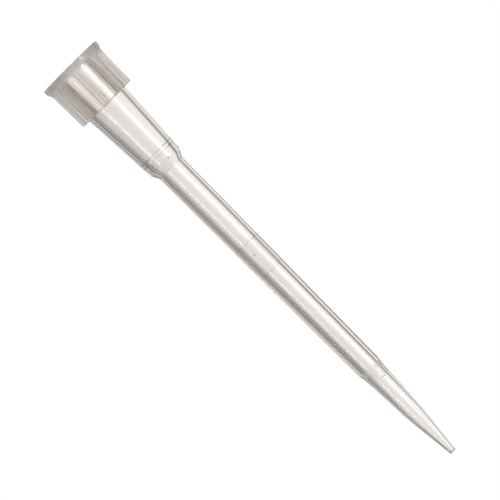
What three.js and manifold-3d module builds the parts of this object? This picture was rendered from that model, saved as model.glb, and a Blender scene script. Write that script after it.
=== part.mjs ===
// An extended-length micropipette tip, injection moulded in one piece of clear polypropylene.
//
// Millimetres, +Z up. The tip stands on its mouth with its point in the air: the origin is the centre of
// the mouth's flat rim. From the mouth up it has a bevelled flange, a collar of ribs with arched pockets
// between them, the conical socket that grips the pipette, a shoulder, a long tube, a small step and a
// nozzle that narrows to the point. One tapering bore runs all the way through.

import * as THREE from 'three';
import { mergeVertices } from 'three/addons/utils/BufferGeometryUtils.js';
import Module from 'manifold-3d';

// ---- Driving dimensions ----

// Flange round the mouth
const flangeThickness = 0.5;
const flangeOverhang = 0.2;         // past the ribs
const flangeBevelHeight = 0.3;      // of the slope from the flange's edge to the ribs
const flangeEdgeRadius = 0.06;

// Collar of ribs
const collarLength = 4.5;           // from the mouth to the ribs' flat ends
const ribCount = 8;
const ribWidth = 0.74;
const ribHeight = 0.62;             // above the collar's core, at the ribs' flat ends
const ribDraft = 0.075;             // how much further out the ribs reach at the flange
const coreStep = 0.1;               // the collar's core above the socket's surface
const coreDraft = 0.06;             // how much thicker the core is at the flange
const pocketSetback = 0.17;         // from the flange's edge to the crown of each pocket's arch
const pocketArchRadius = 0.6;       // of the arch's two shoulders, at the flange's edge

// Socket for the pipette's nozzle
const socketLength = 6.93;
const socketRadius = 2.1;           // outside, where it leaves the collar
const socketEndRadius = 1.716;      // outside, at the shoulder
const socketWall = 0.42;
const leadInDepth = 0.6;            // of the flare at the mouth
const leadInFlare = 0.25;           // how much it widens the bore
const ledgeDepth = 0.03;            // of each of the two stop ledges in the bore
const ledgeSlope = 0.05;            // height that a ledge's slope takes
const ledgeSpacing = 0.34;
const ledgeSetback = 0.78;          // from the second ledge to the shoulder

// Shoulder between the socket and the tube
const shoulderLength = 0.67;
const shoulderRadius = 0.55;        // of its rounded edge
const shoulderFillet = 0.35;        // where it runs into the tube

// Tube
const tubeLength = 23.73;
const tubeRadius = 1.353;           // outside, at the shoulder
const tubeEndRadius = 1.16;         // outside, at the step
const tubeWall = 0.38;              // at the shoulder
const tubeEndWall = 0.43;           // at the step

// Step and nozzle
const stepLength = 0.42;
const stepDepth = 0.106;
const stepFillet = 0.5;
const nozzleLength = 5.15;
const nozzleEndRadius = 0.8;        // outside, where the point begins
const nozzleEndWall = 0.155;

// Point
const pointLength = 4.6;
const pointRadius = 0.31;           // outside, at the very end
const pointWall = 0.12;
const pointEdgeRadius = 0.05;       // of the two edges of the end
const pointBlendRadius = 20;        // of the long curve from the nozzle's cone to the point's

// Graduation bands, textured rings that stand a hair above the surface
const bandRelief = 0.012;
const tubeBandStart = 9.08;         // along the tube
const tubeBandLength = 3.07;
const nozzleBandLength = 1.05;      // from the foot of the step

// ---- Derived heights and radii ----

const flangeTop = flangeThickness + flangeBevelHeight;
const pocketCrown = flangeThickness + pocketSetback;
const shoulderStart = collarLength + socketLength;
const tubeStart = shoulderStart + shoulderLength;
const stepStart = tubeStart + tubeLength;
const nozzleStart = stepStart + stepLength;
const pointStart = nozzleStart + nozzleLength;
const tipEnd = pointStart + pointLength;

const coreRadius = socketRadius + coreStep;
const ribRadius = coreRadius + ribHeight;
const flangeRadius = ribRadius + ribDraft + flangeOverhang;
const nozzleRadius = tubeEndRadius - stepDepth;

const segments = 64;                // round the axis
const facetTurn = Math.PI / 6;      // the most that a fillet turns from one facet to the next
const archSteps = 4;                // facets in each quarter of a pocket's arch
const cutMargin = 0.5;              // how far a cutting solid runs past what it cuts

// ---- Profiles ----

/** The radius at height z on the straight line between two [radius, height] points. */
function radiusOnLine([radiusA, heightA], [radiusB, heightB], z) {
  return radiusA + (radiusB - radiusA) * (z - heightA) / (heightB - heightA);
}

/**
 * An outline with its corners rounded. Each corner is [radius, height] or [radius, height, fillet]. A
 * fillet uses at most half of the shorter side beside it.
 */
function roundedOutline(corners) {
  const outline = [];
  corners.forEach(([radius, height, fillet = 0], i) => {
    const corner = new THREE.Vector2(radius, height);
    if (fillet === 0) {
      outline.push(corner);
      return;
    }
    const neighbour = (step) => {
      const [r, z] = corners[(i + step + corners.length) % corners.length];
      return new THREE.Vector2(r, z).sub(corner);
    };
    const back = neighbour(-1);
    const ahead = neighbour(1);
    const halfTurn = (Math.PI - back.angleTo(ahead)) / 2;
    const room = Math.min(back.length(), ahead.length()) / 2;
    const reach = Math.min(fillet * Math.tan(halfTurn), room);
    const bend = new THREE.QuadraticBezierCurve(
      back.setLength(reach).add(corner),
      corner,
      ahead.setLength(reach).add(corner),
    );
    outline.push(...bend.getPoints(Math.max(2, Math.ceil(2 * halfTurn / facetTurn))));
  });
  return outline;
}

/** The two corners of a graduation band on the line from a to b, with its surface raised. */
function bandOnLine(a, b, from, to) {
  const start = radiusOnLine(a, b, from);
  const end = radiusOnLine(a, b, to);
  return [[start, from], [start + bandRelief, from], [end + bandRelief, to], [end, to]];
}

/** The outside, from the mouth's rim up to the point. The ribs are a plain ring here. */
function outsideCorners() {
  const tubeFoot = [tubeRadius, tubeStart];
  const tubeHead = [tubeEndRadius, stepStart];
  const nozzleFoot = [nozzleRadius, nozzleStart];
  const nozzleHead = [nozzleEndRadius, pointStart];
  const tubeBand = tubeStart + tubeBandStart;
  return [
    [flangeRadius, 0, flangeEdgeRadius],
    [flangeRadius, flangeThickness, flangeEdgeRadius],
    [ribRadius + ribDraft, flangeTop, flangeEdgeRadius],
    [ribRadius, collarLength],
    [socketRadius, collarLength],
    [socketEndRadius, shoulderStart, shoulderRadius],
    [...tubeFoot, shoulderFillet],
    ...bandOnLine(tubeFoot, tubeHead, tubeBand, tubeBand + tubeBandLength),
    [...tubeHead, stepFillet],
    ...bandOnLine(nozzleFoot, nozzleHead, nozzleStart, nozzleStart + nozzleBandLength),
    [...nozzleHead, pointBlendRadius],
    [pointRadius, tipEnd, pointEdgeRadius],
  ];
}

/** The bore, from the point down to the mouth. It follows the outside at the walls' thickness. */
function boreCorners() {
  const shoulderAngle = Math.atan2(socketEndRadius - tubeRadius, shoulderLength);
  const mitre = Math.tan(shoulderAngle / 2);
  const socketTop = [socketRadius - socketWall, collarLength];
  const socketEnd = [socketEndRadius - socketWall, shoulderStart];
  const socketBore = (z) => radiusOnLine(socketTop, socketEnd, z);
  const upperLedge = shoulderStart - ledgeSetback;
  const lowerLedge = upperLedge - ledgeSpacing;
  const boreShoulder = shoulderStart - socketWall * mitre;
  return [
    [pointRadius - pointWall, tipEnd, pointEdgeRadius],
    [nozzleEndRadius - nozzleEndWall, pointStart, pointBlendRadius],
    [tubeEndRadius - tubeEndWall, stepStart],
    [tubeRadius - tubeWall, tubeStart - tubeWall * mitre, shoulderFillet],
    [socketBore(boreShoulder) - 2 * ledgeDepth, boreShoulder, shoulderFillet],
    [socketBore(upperLedge) - 2 * ledgeDepth, upperLedge + ledgeSlope],
    [socketBore(upperLedge) - ledgeDepth, upperLedge],
    [socketBore(lowerLedge) - ledgeDepth, lowerLedge + ledgeSlope],
    [socketBore(lowerLedge), lowerLedge],
    [socketBore(leadInDepth), leadInDepth],
    [socketBore(0) + leadInFlare, 0],
  ];
}

// ---- Solids ----

const wasm = await Module();
wasm.setup();

/** A closed three.js geometry as a solid that can be joined and cut. */
function toSolid(geometry) {
  geometry.deleteAttribute('normal');
  geometry.deleteAttribute('uv');
  const merged = mergeVertices(geometry);
  return new wasm.Manifold(new wasm.Mesh({
    numProp: 3,
    vertProperties: new Float32Array(merged.getAttribute('position').array),
    triVerts: new Uint32Array(merged.getIndex().array),
  }));
}

/** A solid of revolution about Z from an outline that closes on itself. */
function revolve(outline) {
  const closed = [...outline, outline[0]];
  return toSolid(new THREE.LatheGeometry(closed, segments).rotateX(Math.PI / 2));
}

/**
 * The arch-ended section of one pocket at distance x from the axis, as points across and along the tip.
 * Its straight sides lie on the flat sides of the two ribs beside it.
 */
function pocketSection(x) {
  const halfPitch = Math.PI / ribCount;
  const halfWidth = Math.max(x * Math.tan(halfPitch) - ribWidth / 2 / Math.cos(halfPitch), 0.02);
  const corner = Math.min(pocketArchRadius, halfWidth * 0.98);
  const openEnd = collarLength + cutMargin;
  const section = [new THREE.Vector2(-halfWidth, openEnd)];
  for (const [centre, startAngle] of [[corner - halfWidth, Math.PI], [halfWidth - corner, 1.5 * Math.PI]]) {
    for (let i = 0; i <= archSteps; i++) {
      const angle = startAngle + (i / archSteps) * Math.PI / 2;
      const across = centre + corner * Math.cos(angle);
      const along = pocketCrown + corner + corner * Math.sin(angle);
      section.push(new THREE.Vector2(across, along));
    }
  }
  section.push(new THREE.Vector2(halfWidth, openEnd));
  return section;
}

/** A closed loft between two sections with as many points, at distances xA and xB out along +X. */
function loftOutwards(sectionA, xA, sectionB, xB) {
  const count = sectionA.length;
  const positions = [
    ...sectionA.flatMap((p) => [xA, p.x, p.y]),
    ...sectionB.flatMap((p) => [xB, p.x, p.y]),
  ];
  const index = [];
  for (let i = 0; i < count; i++) {
    const next = (i + 1) % count;
    index.push(i, count + next, count + i, i, next, count + next);
  }
  for (const [a, b, c] of THREE.ShapeUtils.triangulateShape(sectionA, [])) {
    index.push(a, c, b);
    index.push(count + a, count + b, count + c);
  }
  const geometry = new THREE.BufferGeometry();
  geometry.setAttribute('position', new THREE.Float32BufferAttribute(positions, 3));
  geometry.setIndex(index);
  return geometry;
}

/** The collar's round core and the space inside it, which the pockets stop at. */
function collarCore() {
  const hole = coreRadius / 4;
  const from = pocketCrown - cutMargin;
  const to = collarLength + 2 * cutMargin;
  return revolve([
    new THREE.Vector2(hole, from),
    new THREE.Vector2(coreRadius + coreDraft, from),
    new THREE.Vector2(coreRadius, collarLength),
    new THREE.Vector2(coreRadius, to),
    new THREE.Vector2(hole, to),
  ]);
}

/** The eight pockets between the ribs, as one cutting solid. */
function pockets() {
  const innerX = 0.8 * coreRadius;  // inside the core
  const outerX = flangeRadius + cutMargin;
  const innerSection = pocketSection(innerX);
  const outerSection = pocketSection(outerX);
  let all = null;
  for (let i = 0; i < ribCount; i++) {
    const loft = loftOutwards(innerSection, innerX, outerSection, outerX);
    const pocket = toSolid(loft.rotateZ((i + 0.5) * 2 * Math.PI / ribCount));
    all = all ? all.add(pocket) : pocket;
  }
  return all.subtract(collarCore());
}

const blank = revolve(roundedOutline([...outsideCorners(), ...boreCorners()]));
const moulding = blank.subtract(pockets()).getMesh();

// ---- Scene ----

const geometry = new THREE.BufferGeometry();
geometry.setAttribute('position', new THREE.BufferAttribute(moulding.vertProperties, 3));
geometry.setIndex(new THREE.BufferAttribute(moulding.triVerts, 1));
geometry.computeVertexNormals();

const clearPolypropylene = new THREE.MeshStandardMaterial({
  color: 0xf1eee9,
  roughness: 0.22,
  metalness: 0,
  transparent: true,
  opacity: 0.5,
  side: THREE.DoubleSide,
});

const pipetteTip = new THREE.Mesh(geometry, clearPolypropylene);
pipetteTip.name = 'pipette_tip';

const group = new THREE.Group();
group.add(pipetteTip);

export default group;
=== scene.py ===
import math

import bmesh
import bpy
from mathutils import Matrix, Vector


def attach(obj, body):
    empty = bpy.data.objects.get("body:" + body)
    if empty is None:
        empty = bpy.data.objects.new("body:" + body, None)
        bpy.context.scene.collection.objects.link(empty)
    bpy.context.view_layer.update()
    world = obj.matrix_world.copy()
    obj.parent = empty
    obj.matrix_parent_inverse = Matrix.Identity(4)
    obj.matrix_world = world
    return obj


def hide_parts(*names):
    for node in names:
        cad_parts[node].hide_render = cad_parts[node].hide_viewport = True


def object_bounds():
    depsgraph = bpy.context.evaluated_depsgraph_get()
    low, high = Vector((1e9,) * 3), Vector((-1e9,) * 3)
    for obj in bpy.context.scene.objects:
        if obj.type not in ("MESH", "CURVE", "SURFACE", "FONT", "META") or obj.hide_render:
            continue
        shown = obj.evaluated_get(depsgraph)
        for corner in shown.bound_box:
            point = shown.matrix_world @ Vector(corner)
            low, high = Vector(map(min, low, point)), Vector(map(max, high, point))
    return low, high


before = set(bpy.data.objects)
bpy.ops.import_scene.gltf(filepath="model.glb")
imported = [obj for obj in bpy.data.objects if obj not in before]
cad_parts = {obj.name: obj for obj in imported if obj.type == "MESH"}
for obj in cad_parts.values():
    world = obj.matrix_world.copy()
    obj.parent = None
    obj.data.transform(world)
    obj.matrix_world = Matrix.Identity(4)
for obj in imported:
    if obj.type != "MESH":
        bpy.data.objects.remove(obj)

cad_low, cad_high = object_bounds()

# ---- Camera ----
# The tip stands on its mouth. The camera looks level at the middle of it from a metre away, through a
# long lens, and is rolled so that the mouth comes top left in the picture and the point bottom right.

camera_distance = 1.0
picture_width = 0.04231          # of what the camera sees at the tip
camera_side, camera_height = 0.00015, 0.4735 * cad_high.z
camera_roll = -135.14
camera_data = bpy.data.cameras.new("camera")
camera_data.sensor_width = 36.0
camera_data.lens = camera_data.sensor_width * camera_distance / picture_width
camera_data.clip_start = 0.01
camera_data.clip_end = 10.0
camera = bpy.data.objects.new("camera", camera_data)
camera.location = (camera_side, -camera_distance, camera_height)
camera.rotation_euler = (math.radians(90), math.radians(camera_roll), 0)
bpy.context.scene.collection.objects.link(camera)
bpy.context.scene.camera = camera

# ---- Studio ----
# A table for product views. White card stands behind the tip and dim room lies to its sides, so the clear
# plastic shows dark lines where it bends the view away from the card. A strip of light stands front left.

scene = bpy.context.scene
scene.view_settings.view_transform = "Standard"

# Degrees from straight behind the tip, positive to its left, and how bright the room is there
around_the_room = [
    (-180, 0.68), (-170, 1.0), (-160, 1.0), (-140, 0.51), (-130, 0.18), (-120, 0.12), (-110, 0.12),
    (-100, 0.4), (-90, 0.6), (-80, 0.3), (-70, 0.12), (-50, 0.12), (-40, 0.95), (-30, 0.3), (-20, 0.24),
    (-10, 0.65), (0, 0.8), (10, 1.03), (20, 1.06), (30, 0.81), (40, 0.68), (50, 0.2), (60, 0.3), (70, 0.53),
    (85, 0.85), (112, 0.9), (126, 1.9), (133, 7.0), (137, 7.0), (145, 2.0), (160, 1.1), (180, 0.68),
]
brightest = max(bright for _, bright in around_the_room)
# Above and below the horizon the room fades to an even grey: from and to how many degrees, and how bright
table_edge_fade, ceiling_fade = (8, 16, 0.57), (30, 42, 0.8)

world = bpy.data.worlds.new("studio")
scene.world = world
world.use_nodes = True
nodes, links = world.node_tree.nodes, world.node_tree.links
nodes.clear()
direction = nodes.new("ShaderNodeTexCoord")
# Half way along the ramp lies straight behind the tip
turn = nodes.new("ShaderNodeMapping")
turn.inputs["Rotation"].default_value = (0, 0, math.radians(-90))
bearing = nodes.new("ShaderNodeTexGradient")
bearing.gradient_type = "RADIAL"
room = nodes.new("ShaderNodeValToRGB")
links.new(direction.outputs["Generated"], turn.inputs["Vector"])
links.new(turn.outputs["Vector"], bearing.inputs["Vector"])
links.new(bearing.outputs["Fac"], room.inputs["Fac"])
stops = room.color_ramp.elements
for degrees, bright in around_the_room:
    turned = 0.5 + degrees / 360
    stop = stops[0] if degrees == -180 else stops[-1] if degrees == 180 else stops.new(turned)
    stop.position = turned
    stop.color = (bright / brightest, bright / brightest, bright / brightest, 1)


def ramp_between(source, start, end):
    """A mask that goes softly from 0 to 1 while source goes from start to end."""
    mask = nodes.new("ShaderNodeMapRange")
    mask.interpolation_type = "SMOOTHSTEP"
    mask.inputs["From Min"].default_value = start
    mask.inputs["From Max"].default_value = end
    links.new(source, mask.inputs["Value"])
    return mask.outputs["Result"]


def climb(start_degrees, end_degrees):
    """A mask of the room that goes from 0 to 1 between two heights above or below the horizon."""
    height = nodes.new("ShaderNodeSeparateXYZ")
    links.new(direction.outputs["Generated"], height.inputs["Vector"])
    size = nodes.new("ShaderNodeMath")
    size.operation = "ABSOLUTE"
    links.new(height.outputs["Z"], size.inputs[0])
    start, end = math.sin(math.radians(start_degrees)), math.sin(math.radians(end_degrees))
    return ramp_between(size.outputs["Value"], start, end)


def tint_where(mask, colour, tint):
    """Goes from a colour, plain or painted, to the tint where the mask is 1."""
    mix = nodes.new("ShaderNodeMix")
    mix.data_type = "RGBA"
    if isinstance(colour, tuple):
        mix.inputs["A"].default_value = (*colour, 1)
    else:
        links.new(colour, mix.inputs["A"])
    mix.inputs["B"].default_value = (*tint, 1)
    links.new(mask, mix.inputs["Factor"])
    return mix.outputs["Result"]


room_colour = room.outputs["Color"]
for start_degrees, end_degrees, bright in (table_edge_fade, ceiling_fade):
    grey = (bright / brightest, bright / brightest, bright / brightest)
    room_colour = tint_where(climb(start_degrees, end_degrees), room_colour, grey)
room_light = nodes.new("ShaderNodeBackground")
room_light.inputs["Strength"].default_value = brightest
links.new(room_colour, room_light.inputs["Color"])
# Seen directly, the backdrop is white
backdrop = nodes.new("ShaderNodeBackground")
backdrop.inputs["Color"].default_value = (1, 1, 1, 1)
light_path = nodes.new("ShaderNodeLightPath")
seen = nodes.new("ShaderNodeMixShader")
output = nodes.new("ShaderNodeOutputWorld")
links.new(light_path.outputs["Is Camera Ray"], seen.inputs[0])
links.new(room_light.outputs["Background"], seen.inputs[1])
links.new(backdrop.outputs["Background"], seen.inputs[2])
links.new(seen.outputs["Shader"], output.inputs["Surface"])

floor_size, floor_gap = 6, 0.00002
floor_grey, floor_glow = 0.85, 0.93
floor_lit_share = 0.2            # what the lamp adds to the glow, and a shadow takes away
bpy.ops.object.select_all(action="DESELECT")
bpy.ops.mesh.primitive_plane_add(size=floor_size, location=(0, 0, cad_low.z - floor_gap))
floor = bpy.context.active_object
floor.name = "floor"
floor_paint = bpy.data.materials.new("floor_paint")
floor_paint.use_nodes = True
nodes, links = floor_paint.node_tree.nodes, floor_paint.node_tree.links
nodes.clear()
# It throws light back as pale paint does, looks as white as the backdrop when seen directly, and the tip
# sees the room through it
paint = nodes.new("ShaderNodeBsdfDiffuse")
paint.inputs["Color"].default_value = (floor_grey, floor_grey, floor_grey, 1)
faint = nodes.new("ShaderNodeBsdfDiffuse")
faint.inputs["Color"].default_value = (floor_lit_share, floor_lit_share, floor_lit_share, 1)
glow = nodes.new("ShaderNodeEmission")
glow.inputs["Strength"].default_value = floor_glow
white = nodes.new("ShaderNodeAddShader")
clear = nodes.new("ShaderNodeBsdfTransparent")
light_path = nodes.new("ShaderNodeLightPath")
glossy_or_through = nodes.new("ShaderNodeMath")
glossy_or_through.operation = "MAXIMUM"
by_the_tip = nodes.new("ShaderNodeMath")
by_the_tip.operation = "MAXIMUM"
to_eye = nodes.new("ShaderNodeMixShader")
to_tip = nodes.new("ShaderNodeMixShader")
output = nodes.new("ShaderNodeOutputMaterial")
links.new(faint.outputs[0], white.inputs[0])
links.new(glow.outputs[0], white.inputs[1])
links.new(light_path.outputs["Is Camera Ray"], to_eye.inputs[0])
links.new(paint.outputs[0], to_eye.inputs[1])
links.new(white.outputs[0], to_eye.inputs[2])
links.new(light_path.outputs["Is Glossy Ray"], glossy_or_through.inputs[0])
links.new(light_path.outputs["Is Transmission Ray"], glossy_or_through.inputs[1])
links.new(glossy_or_through.outputs[0], by_the_tip.inputs[0])
links.new(light_path.outputs["Is Shadow Ray"], by_the_tip.inputs[1])
links.new(by_the_tip.outputs[0], to_tip.inputs[0])
links.new(to_eye.outputs[0], to_tip.inputs[1])
links.new(clear.outputs[0], to_tip.inputs[2])
links.new(to_tip.outputs[0], output.inputs["Surface"])
floor.data.materials.append(floor_paint)

softbox_side, softbox_watts, softbox_place = 0.5, 0.9, (0.2, 0.35, 0.7)
top_data = bpy.data.lights.new("top_softbox", "AREA")
top_data.size = softbox_side
top_data.energy = softbox_watts
top_lamp = bpy.data.objects.new("top_softbox", top_data)
top_lamp.location = softbox_place
top_lamp.rotation_euler = Vector(softbox_place).to_track_quat("Z", "Y").to_euler()
top_lamp.visible_camera = False
scene.collection.objects.link(top_lamp)

# ---- The moulding ----
# One injection moulding of clear, faintly milky polypropylene. The outside and the bore are turned forms,
# and the collar's pockets are left by fingers of the mould that draw off towards the point.

# Millimetres, until the last step brings the mesh to metres
MM = 0.001
around = 192
length = cad_high.z / MM
flange_radius = cad_high.x / MM
flange_top, rib_foot, collar_end = 0.5, 0.8, 4.5
shoulder_start, tube_start, step_start, nozzle_start, point_start = 11.43, 12.1, 35.83, 36.25, 41.4
rib_radius, rib_foot_radius = 2.82, 2.895
socket_radius, socket_end_radius, socket_wall = 2.1, 1.716, 0.42
tube_radius, tube_end_radius, tube_wall, tube_end_wall = 1.353, 1.16, 0.38, 0.43
nozzle_radius, nozzle_end_radius, nozzle_end_wall = 1.054, 0.8, 0.155
point_radius, point_wall = 0.295, 0.105
lead_in_depth, lead_in_flare = 0.6, 0.25
ledge_depth, ledge_slope, lower_ledge, upper_ledge = 0.03, 0.04, 10.29, 10.63
band_relief = 0.012
tube_band, nozzle_band = (21.18, 24.25), (36.4, 37.3)
band_ledge, band_end_ledge, band_slope = 0.022, 0.014, 0.028


def between(low, high, z):
    """The radius at height z on the straight line between two (radius, height) rings."""
    return low[0] + (high[0] - low[0]) * (z - low[1]) / (high[1] - low[1])


def band_rings(low, high, band):
    """The rings of a graduation band, which stands a hair above the cone between low and high."""
    start, end = between(low, high, band[0]), between(low, high, band[1])
    return [(start, band[0]), (start + band_relief, band[0]), (end + band_relief, band[1]), (end, band[1])]


# The outside, as (radius, height) rings from the mouth to the point
mouth_edge, flange_edge = (flange_radius, 0), (flange_radius, flange_top)
rib_foot_edge, socket_end = (rib_foot_radius, rib_foot), (socket_end_radius, shoulder_start)
tube_foot, tube_head = (tube_radius, tube_start), (tube_end_radius, step_start)
nozzle_foot, nozzle_head = (nozzle_radius, nozzle_start), (nozzle_end_radius, point_start)
point_end = (point_radius, length)
outside = [
    mouth_edge, flange_edge, rib_foot_edge, (rib_radius, collar_end), (socket_radius, collar_end), socket_end,
    tube_foot, *band_rings(tube_foot, tube_head, tube_band), tube_head,
    *band_rings(nozzle_foot, nozzle_head, nozzle_band), nozzle_head, point_end,
]

# The bore, from the point back to the mouth. The wall keeps its thickness round the shoulder
mitre = math.tan(math.atan2(socket_end_radius - tube_radius, tube_start - shoulder_start) / 2)
bore_shoulder, bore_tube = shoulder_start - socket_wall * mitre, tube_start - tube_wall * mitre
socket_low = (socket_radius - socket_wall, collar_end)
socket_high = (socket_end_radius - socket_wall, shoulder_start)
tube_bore = (tube_radius - tube_wall, bore_tube), (tube_end_radius - tube_end_wall, step_start)
hole = (point_radius - point_wall, length)
nozzle_bore_end = (nozzle_end_radius - nozzle_end_wall, point_start)
socket_bore_end = (between(socket_low, socket_high, bore_shoulder) - 2 * ledge_depth, bore_shoulder)
lead_in_end = (between(socket_low, socket_high, lead_in_depth), lead_in_depth)
bore = [
    hole,
    nozzle_bore_end,
    tube_bore[1],
    (between(*tube_bore, tube_band[1]) - band_end_ledge, tube_band[1] + band_slope / 2),
    (between(*tube_bore, tube_band[1]), tube_band[1]),
    (between(*tube_bore, tube_band[0]), tube_band[0] + band_slope),
    (between(*tube_bore, tube_band[0]) + band_ledge, tube_band[0]),
    tube_bore[0],
    socket_bore_end,
    (between(socket_low, socket_high, upper_ledge) - 2 * ledge_depth, upper_ledge + ledge_slope),
    (between(socket_low, socket_high, upper_ledge) - ledge_depth, upper_ledge),
    (between(socket_low, socket_high, lower_ledge) - ledge_depth, lower_ledge + ledge_slope),
    (between(socket_low, socket_high, lower_ledge), lower_ledge),
    lead_in_end,
    (between(socket_low, socket_high, 0) + lead_in_flare, 0),
]

# Rings that the mould leaves round, how far to either side, and in how many steps
roundings = [
    (mouth_edge, 0.05, 3), (flange_edge, 0.05, 3), (rib_foot_edge, 0.06, 2), (socket_end, 0.09, 4),
    (tube_foot, 0.07, 4), (tube_head, 0.14, 4), (nozzle_foot, 0.1, 4), (nozzle_head, 0.57, 5),
    (point_end, 0.05, 3), (hole, 0.05, 3), (nozzle_bore_end, 0.57, 5), (tube_bore[0], 0.07, 3),
    (socket_bore_end, 0.07, 3), (lead_in_end, 0.06, 3),
]
near, level = 1e-3, 1e-4         # no further apart than this, places and heights count as the same
# Points no further apart than this are merged: after the turning, after the cut and after the rounding
turned_gap, cut_gap, rounded_gap = 0.0005, 0.008, 0.001


def select_edges(obj, wanted):
    """In edit mode, selects only the edges whose two ends make wanted(point) true."""
    bpy.ops.mesh.select_mode(type="EDGE")
    bpy.ops.mesh.select_all(action="DESELECT")
    shape = bmesh.from_edit_mesh(obj.data)
    for edge in shape.edges:
        edge.select_set(all(wanted(vertex.co) for vertex in edge.verts))
    bmesh.update_edit_mesh(obj.data)


rings = outside + bore
bpy.ops.object.select_all(action="DESELECT")
bpy.ops.mesh.primitive_circle_add(vertices=around, radius=rings[0][0], location=(0, 0, 0))
tip = bpy.context.active_object
tip.name = "pipette_tip_moulding"
bpy.ops.object.mode_set(mode="EDIT")
bpy.ops.mesh.select_all(action="SELECT")
for (radius, height), (next_radius, next_height) in zip(rings, rings[1:] + rings[:1]):
    bpy.ops.mesh.extrude_edges_move(TRANSFORM_OT_translate={"value": (0, 0, next_height - height)})
    scale = next_radius / radius
    bpy.ops.transform.resize(value=(scale, scale, 1), center_override=(0, 0, next_height))
bpy.ops.mesh.select_all(action="SELECT")
bpy.ops.mesh.remove_doubles(threshold=turned_gap)
bpy.ops.mesh.normals_make_consistent(inside=False)
for (radius, height), reach, steps in roundings:
    select_edges(tip, lambda p: abs(p.z - height) < level and abs(math.hypot(p.x, p.y) - radius) < near)
    bpy.ops.mesh.bevel(offset=reach, segments=steps, profile=0.5, affect="EDGES")
bpy.ops.object.mode_set(mode="OBJECT")

# The mould fingers are wedges with an arched crown, and stop at the collar's round core
rib_count, rib_width = 8, 0.74
pocket_crown, arch_reach, arch_steps = 0.7, 0.42, 8
core_radius, core_foot_radius = 2.2, 2.26
finger_inner, finger_outer, finger_end = 2.1, 3.5, 5.0
core_overhang = 0.5              # how far the core runs on past both ends of the fingers
half_pitch = math.pi / rib_count


def pocket_half_width(x):
    """Half of the room between two ribs at distance x from the axis."""
    return x * math.tan(half_pitch) - rib_width / 2 / math.cos(half_pitch)


def cut_away(obj, cutter):
    """Cuts cutter out of obj, and deletes it."""
    bpy.ops.object.select_all(action="DESELECT")
    bpy.context.view_layer.objects.active = obj
    obj.select_set(True)
    cut = obj.modifiers.new("cut", "BOOLEAN")
    cut.operation = "DIFFERENCE"
    cut.solver = "EXACT"
    cut.use_self = True
    cut.object = cutter
    bpy.ops.object.modifier_apply(modifier=cut.name)
    bpy.data.objects.remove(cutter)


bpy.ops.object.select_all(action="DESELECT")
bpy.ops.mesh.primitive_cube_add(
    size=1,
    location=((finger_inner + finger_outer) / 2, 0, (pocket_crown + finger_end) / 2),
    scale=(finger_outer - finger_inner, 1, finger_end - pocket_crown),
)
fingers = bpy.context.active_object
fingers.name = "mould_fingers"
bpy.ops.object.transform_apply(location=True, rotation=True, scale=True)
bpy.ops.object.mode_set(mode="EDIT")
for x in (finger_inner, finger_outer):
    select_edges(fingers, lambda p: abs(p.x - x) < near)
    bpy.ops.transform.resize(value=(1, 2 * pocket_half_width(x), 1), center_override=(x, 0, 0))
# The two low edges that run outwards become the arch
shape = bmesh.from_edit_mesh(fingers.data)
for edge in shape.edges:
    low = all(abs(vertex.co.z - pocket_crown) < near for vertex in edge.verts)
    outward = abs(edge.verts[0].co.x - edge.verts[1].co.x) > near
    edge.select_set(low and outward)
bmesh.update_edit_mesh(fingers.data)
bpy.ops.mesh.bevel(offset=arch_reach, segments=arch_steps, profile=0.5, affect="EDGES", clamp_overlap=False)
bpy.ops.mesh.select_all(action="SELECT")
bpy.ops.mesh.normals_make_consistent(inside=False)
bpy.ops.object.mode_set(mode="OBJECT")

core_low, core_high = pocket_crown - core_overhang, finger_end + core_overhang
core_line = (core_foot_radius, core_low), (core_radius, collar_end)
bpy.ops.object.select_all(action="DESELECT")
bpy.ops.mesh.primitive_cone_add(
    vertices=around, radius1=core_foot_radius, radius2=between(*core_line, core_high),
    depth=core_high - core_low, location=(0, 0, (core_low + core_high) / 2),
)
core = bpy.context.active_object
bpy.ops.object.transform_apply(location=True, rotation=True, scale=True)
cut_away(fingers, core)
bpy.ops.object.mode_set(mode="EDIT")
bpy.ops.mesh.select_all(action="SELECT")
bpy.ops.transform.rotate(value=half_pitch, orient_axis="Z", center_override=(0, 0, 0))
for _ in range(rib_count - 1):
    bpy.ops.mesh.duplicate()
    bpy.ops.transform.rotate(value=2 * half_pitch, orient_axis="Z", center_override=(0, 0, 0))
bpy.ops.object.mode_set(mode="OBJECT")
cut_away(tip, fingers)

bpy.ops.object.select_all(action="DESELECT")
bpy.context.view_layer.objects.active = tip
tip.select_set(True)
bpy.ops.object.mode_set(mode="EDIT")
bpy.ops.mesh.select_all(action="SELECT")
# The cut leaves its points in no fixed order, and which of them a merge keeps depends on it. They are put
# in the order of their distance from a place that no two of them lie equally far from
odd_corner = (17.3, 5.1, -31.7)
scene.cursor.location = odd_corner
bpy.ops.mesh.sort_elements(type="CURSOR_DISTANCE", elements={"VERT", "EDGE", "FACE"})
scene.cursor.location = (0, 0, 0)
bpy.ops.mesh.remove_doubles(threshold=cut_gap)
bpy.ops.mesh.normals_make_consistent(inside=False)

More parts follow.
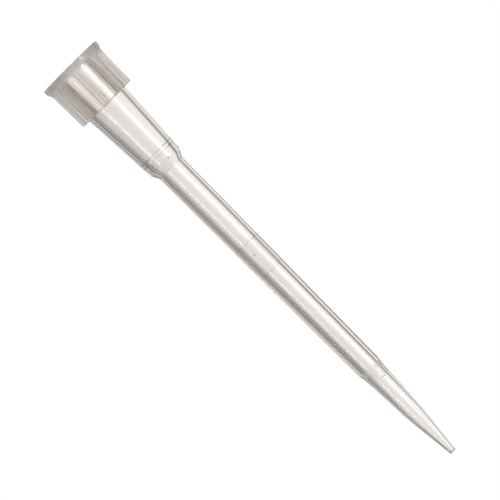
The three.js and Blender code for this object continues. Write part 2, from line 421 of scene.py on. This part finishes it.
# The ribs' long edges and the edges of the collar's end are rounded
sharp_angle, shortest_rib_edge = math.radians(35), 0.3
rib_rounding, rib_steps = 0.09, 4
margin = 0.01
bpy.ops.mesh.select_mode(type="EDGE")
bpy.ops.mesh.select_all(action="DESELECT")
shape = bmesh.from_edit_mesh(tip.data)
for edge in shape.edges:
    ends = [vertex.co for vertex in edge.verts]
    at_end = all(abs(end.z - collar_end) < near for end in ends)
    rises = abs(ends[0].z - ends[1].z) > shortest_rib_edge
    along_rib = rises and all(rib_foot < end.z < collar_end + margin for end in ends)
    outside_core = all(math.hypot(end.x, end.y) > core_radius - margin for end in ends)
    sharp = edge.is_manifold and edge.is_convex and edge.calc_face_angle() > sharp_angle
    edge.select_set(sharp and outside_core and (at_end or along_rib))
bmesh.update_edit_mesh(tip.data)
bpy.ops.mesh.bevel(offset=rib_rounding, segments=rib_steps, profile=0.5, affect="EDGES", clamp_overlap=False)
bpy.ops.mesh.select_all(action="SELECT")
bpy.ops.mesh.remove_doubles(threshold=rounded_gap)
bpy.ops.object.mode_set(mode="OBJECT")
# The long faces keep their own slope, and only the rounded edges between them shade round
smooth_angle, same_size = math.radians(28), 0.003
bpy.ops.object.shade_smooth_by_angle(angle=smooth_angle)
even = tip.modifiers.new("even_shading", "WEIGHTED_NORMAL")
even.keep_sharp = True
even.weight = 100
even.thresh = same_size
bpy.ops.object.modifier_apply(modifier=even.name)
tip.scale = (MM, MM, MM)
bpy.ops.object.transform_apply(location=True, rotation=True, scale=True)

# Clear polypropylene, polished except where the mould is textured
refraction, coat_roughness = 1.49, 0.04
haze_tint, haze_density = (0.75, 0.64, 0.52), 300
clear_tint, dust_tint, flange_tint = (1.0, 0.99, 0.98), (0.22, 0.16, 0.16), (0.95, 0.975, 1.0)
rib_line_tint, end_tint = (0.75, 0.7, 0.66), (0.86, 0.84, 0.83)
# Each roughness wanders between two values with a fine grain, and the ribs' with the lines on them
polished, pocket_floor_polish, frosted = (0.06, 0.09), (0.16, 0.22), (0.6, 0.75)
rib_frost, band_frost, end_frost = (0.28, 0.7), (0.19, 0.24), (0.25, 0.35)
milkiness = (0.04, 0.36)
# Where the finishes begin and end, in millimetres: from the axis, and along it
pocket_floor_from, collar_from = (2.13, 2.18), (2.3, 2.4)
ribs_from, end_ring_from = (flange_top, rib_foot + 0.1), (length - 0.21, length - 0.15)
tube_band_within, nozzle_band_within = 1.08, 1.5
band_edge, wall_edge = 0.03, 0.02
# Noise: how fine it is, how far it is drawn out along the tip, and how detailed
grain_scale, grain_detail = 2500, 3
rib_line_noise, wave_noise = (5500, 0.012, 2), (1500, 0.05, 1)
rib_line_depth, wave_depth = 0.12, 0.0005
# The values of the noise between which what it drives changes
grain_swing, line_swing, dark_line_swing = (0.35, 0.65), (0.42, 0.58), (0.5, 0.58)
# Flecks of dust in the front of the wall: x, height, radius of the outside and size
specks = [(-0.47, 11.37, 1.72, 0.08), (0.19, 22.33, 1.27, 0.075), (-0.44, 29.6, 1.21, 0.065),
          (-0.31, 37.28, 1.02, 0.065), (-0.4, 37.3, 1.02, 0.08), (-0.5, 37.33, 1.02, 0.065)]
speck_clear, speck_dark = 1.3, 0.5      # sizes from the middle of a fleck at which it ends, and is full

plastic = bpy.data.materials.new("clear_polypropylene")
plastic.use_nodes = True
nodes, links = plastic.node_tree.nodes, plastic.node_tree.links
shader = nodes["Principled BSDF"]
shader.inputs["IOR"].default_value = refraction
shader.inputs["Coat Roughness"].default_value = coat_roughness
shader.inputs["Transmission Weight"].default_value = 1.0

haze = nodes.new("ShaderNodeVolumeAbsorption")
haze.inputs["Color"].default_value = (*haze_tint, 1)
haze.inputs["Density"].default_value = haze_density
links.new(haze.outputs["Volume"], nodes["Material Output"].inputs["Volume"])

place = nodes.new("ShaderNodeTexCoord")
axes = nodes.new("ShaderNodeSeparateXYZ")
flat = nodes.new("ShaderNodeCombineXYZ")
from_axis = nodes.new("ShaderNodeVectorMath")
from_axis.operation = "LENGTH"
links.new(place.outputs["Object"], axes.inputs["Vector"])
links.new(axes.outputs["X"], flat.inputs["X"])
links.new(axes.outputs["Y"], flat.inputs["Y"])
links.new(flat.outputs["Vector"], from_axis.inputs[0])


def beyond(source, start, end):
    """A mask in the plastic that goes from 0 at start to 1 at end, in millimetres."""
    return ramp_between(source, start * MM, end * MM)


def spread(source, start, end, low, high):
    """Goes evenly from low to high while source goes from start to end."""
    even_ramp = nodes.new("ShaderNodeMapRange")
    even_ramp.inputs["From Min"].default_value = start
    even_ramp.inputs["From Max"].default_value = end
    even_ramp.inputs["To Min"].default_value = low
    even_ramp.inputs["To Max"].default_value = high
    links.new(source, even_ramp.inputs["Value"])
    return even_ramp.outputs["Result"]


def combine(operation, first, second):
    """Adds, multiplies or compares two masks in the plastic."""
    joint = nodes.new("ShaderNodeMath")
    joint.operation = operation
    joint.use_clamp = True
    links.new(first, joint.inputs[0])
    links.new(second, joint.inputs[1])
    return joint.outputs["Value"]


def band_mask(low, high, within):
    """A mask of a graduation band between two heights, with soft edges, and no further out than within."""
    rise = beyond(axes.outputs["Z"], low - band_edge, low + band_edge)
    fall = beyond(axes.outputs["Z"], high + band_edge, high - band_edge)
    inside = beyond(from_axis.outputs["Value"], within + wall_edge, within - wall_edge)
    return combine("MULTIPLY", combine("MULTIPLY", rise, fall), inside)


def speck(x, z, surface_radius, size):
    """A mask of a fleck of dust that the plastic holds in its front, where the outside has that radius."""
    reach = nodes.new("ShaderNodeVectorMath")
    reach.operation = "DISTANCE"
    reach.inputs[1].default_value = (x * MM, -math.sqrt(surface_radius ** 2 - x ** 2) * MM, z * MM)
    links.new(place.outputs["Object"], reach.inputs[0])
    return beyond(reach.outputs["Value"], speck_clear * size, speck_dark * size)


def drawn_lines(scale, stretch, detail):
    """Noise that is stretched along the tip, as the lines that the mould draws in the plastic are."""
    squeeze = nodes.new("ShaderNodeMapping")
    squeeze.inputs["Scale"].default_value = (1, 1, stretch)
    links.new(place.outputs["Object"], squeeze.inputs["Vector"])
    lines = nodes.new("ShaderNodeTexNoise")
    lines.inputs["Scale"].default_value = scale
    lines.inputs["Detail"].default_value = detail
    links.new(squeeze.outputs["Vector"], lines.inputs["Vector"])
    return lines.outputs["Fac"]


def grained(values):
    """A value that the grain moves between two."""
    return spread(grain.outputs["Fac"], *grain_swing, *values)


def value_where(mask, below, above):
    """Goes from one value to the other with the mask."""
    blend = nodes.new("ShaderNodeMix")
    links.new(mask, blend.inputs["Factor"])
    links.new(below, blend.inputs["A"])
    links.new(above, blend.inputs["B"])
    return blend.outputs["Result"]


dust = speck(*specks[0])
for fleck in specks[1:]:
    dust = combine("ADD", dust, speck(*fleck))
pocket_floor_mask = beyond(from_axis.outputs["Value"], *pocket_floor_from)
collar_mask = beyond(from_axis.outputs["Value"], *collar_from)
rib_mask = combine("MULTIPLY", collar_mask, beyond(axes.outputs["Z"], *ribs_from))
flange_mask = combine("SUBTRACT", collar_mask, rib_mask)
end_mask = beyond(axes.outputs["Z"], *end_ring_from)
bands_mask = combine(
    "MAXIMUM", band_mask(*tube_band, tube_band_within), band_mask(*nozzle_band, nozzle_band_within))
rib_lines = drawn_lines(*rib_line_noise)
grain = nodes.new("ShaderNodeTexNoise")
grain.inputs["Scale"].default_value = grain_scale
grain.inputs["Detail"].default_value = grain_detail
links.new(place.outputs["Object"], grain.inputs["Vector"])

dark_lines = combine("MULTIPLY", rib_mask, ramp_between(rib_lines, *dark_line_swing))
colour = tint_where(dust, clear_tint, dust_tint)
colour = tint_where(flange_mask, colour, flange_tint)
colour = tint_where(dark_lines, colour, rib_line_tint)
colour = tint_where(end_mask, colour, end_tint)
links.new(colour, shader.inputs["Base Color"])

roughness = value_where(pocket_floor_mask, grained(polished), grained(pocket_floor_polish))
roughness = value_where(collar_mask, roughness, grained(frosted))
roughness = value_where(rib_mask, roughness, spread(rib_lines, *line_swing, *rib_frost))
roughness = value_where(bands_mask, roughness, grained(band_frost))
roughness = value_where(end_mask, roughness, grained(end_frost))
links.new(roughness, shader.inputs["Roughness"])

milky = combine("MULTIPLY", rib_mask, spread(rib_lines, *grain_swing, *milkiness))
clear_part = nodes.new("ShaderNodeMath")
clear_part.operation = "SUBTRACT"
clear_part.inputs[0].default_value = 1
links.new(milky, clear_part.inputs[1])
links.new(clear_part.outputs["Value"], shader.inputs["Transmission Weight"])
links.new(flange_mask, shader.inputs["Coat Weight"])

waves = nodes.new("ShaderNodeBump")
waves.inputs["Distance"].default_value = wave_depth * MM
links.new(drawn_lines(*wave_noise), waves.inputs["Height"])
draw_marks = nodes.new("ShaderNodeBump")
draw_marks.inputs["Distance"].default_value = rib_line_depth * MM
links.new(collar_mask, draw_marks.inputs["Strength"])
links.new(rib_lines, draw_marks.inputs["Height"])
links.new(waves.outputs["Normal"], draw_marks.inputs["Normal"])
links.new(draw_marks.outputs["Normal"], shader.inputs["Normal"])
tip.data.materials.append(plastic)

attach(tip, "root")
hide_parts("pipette_tip")
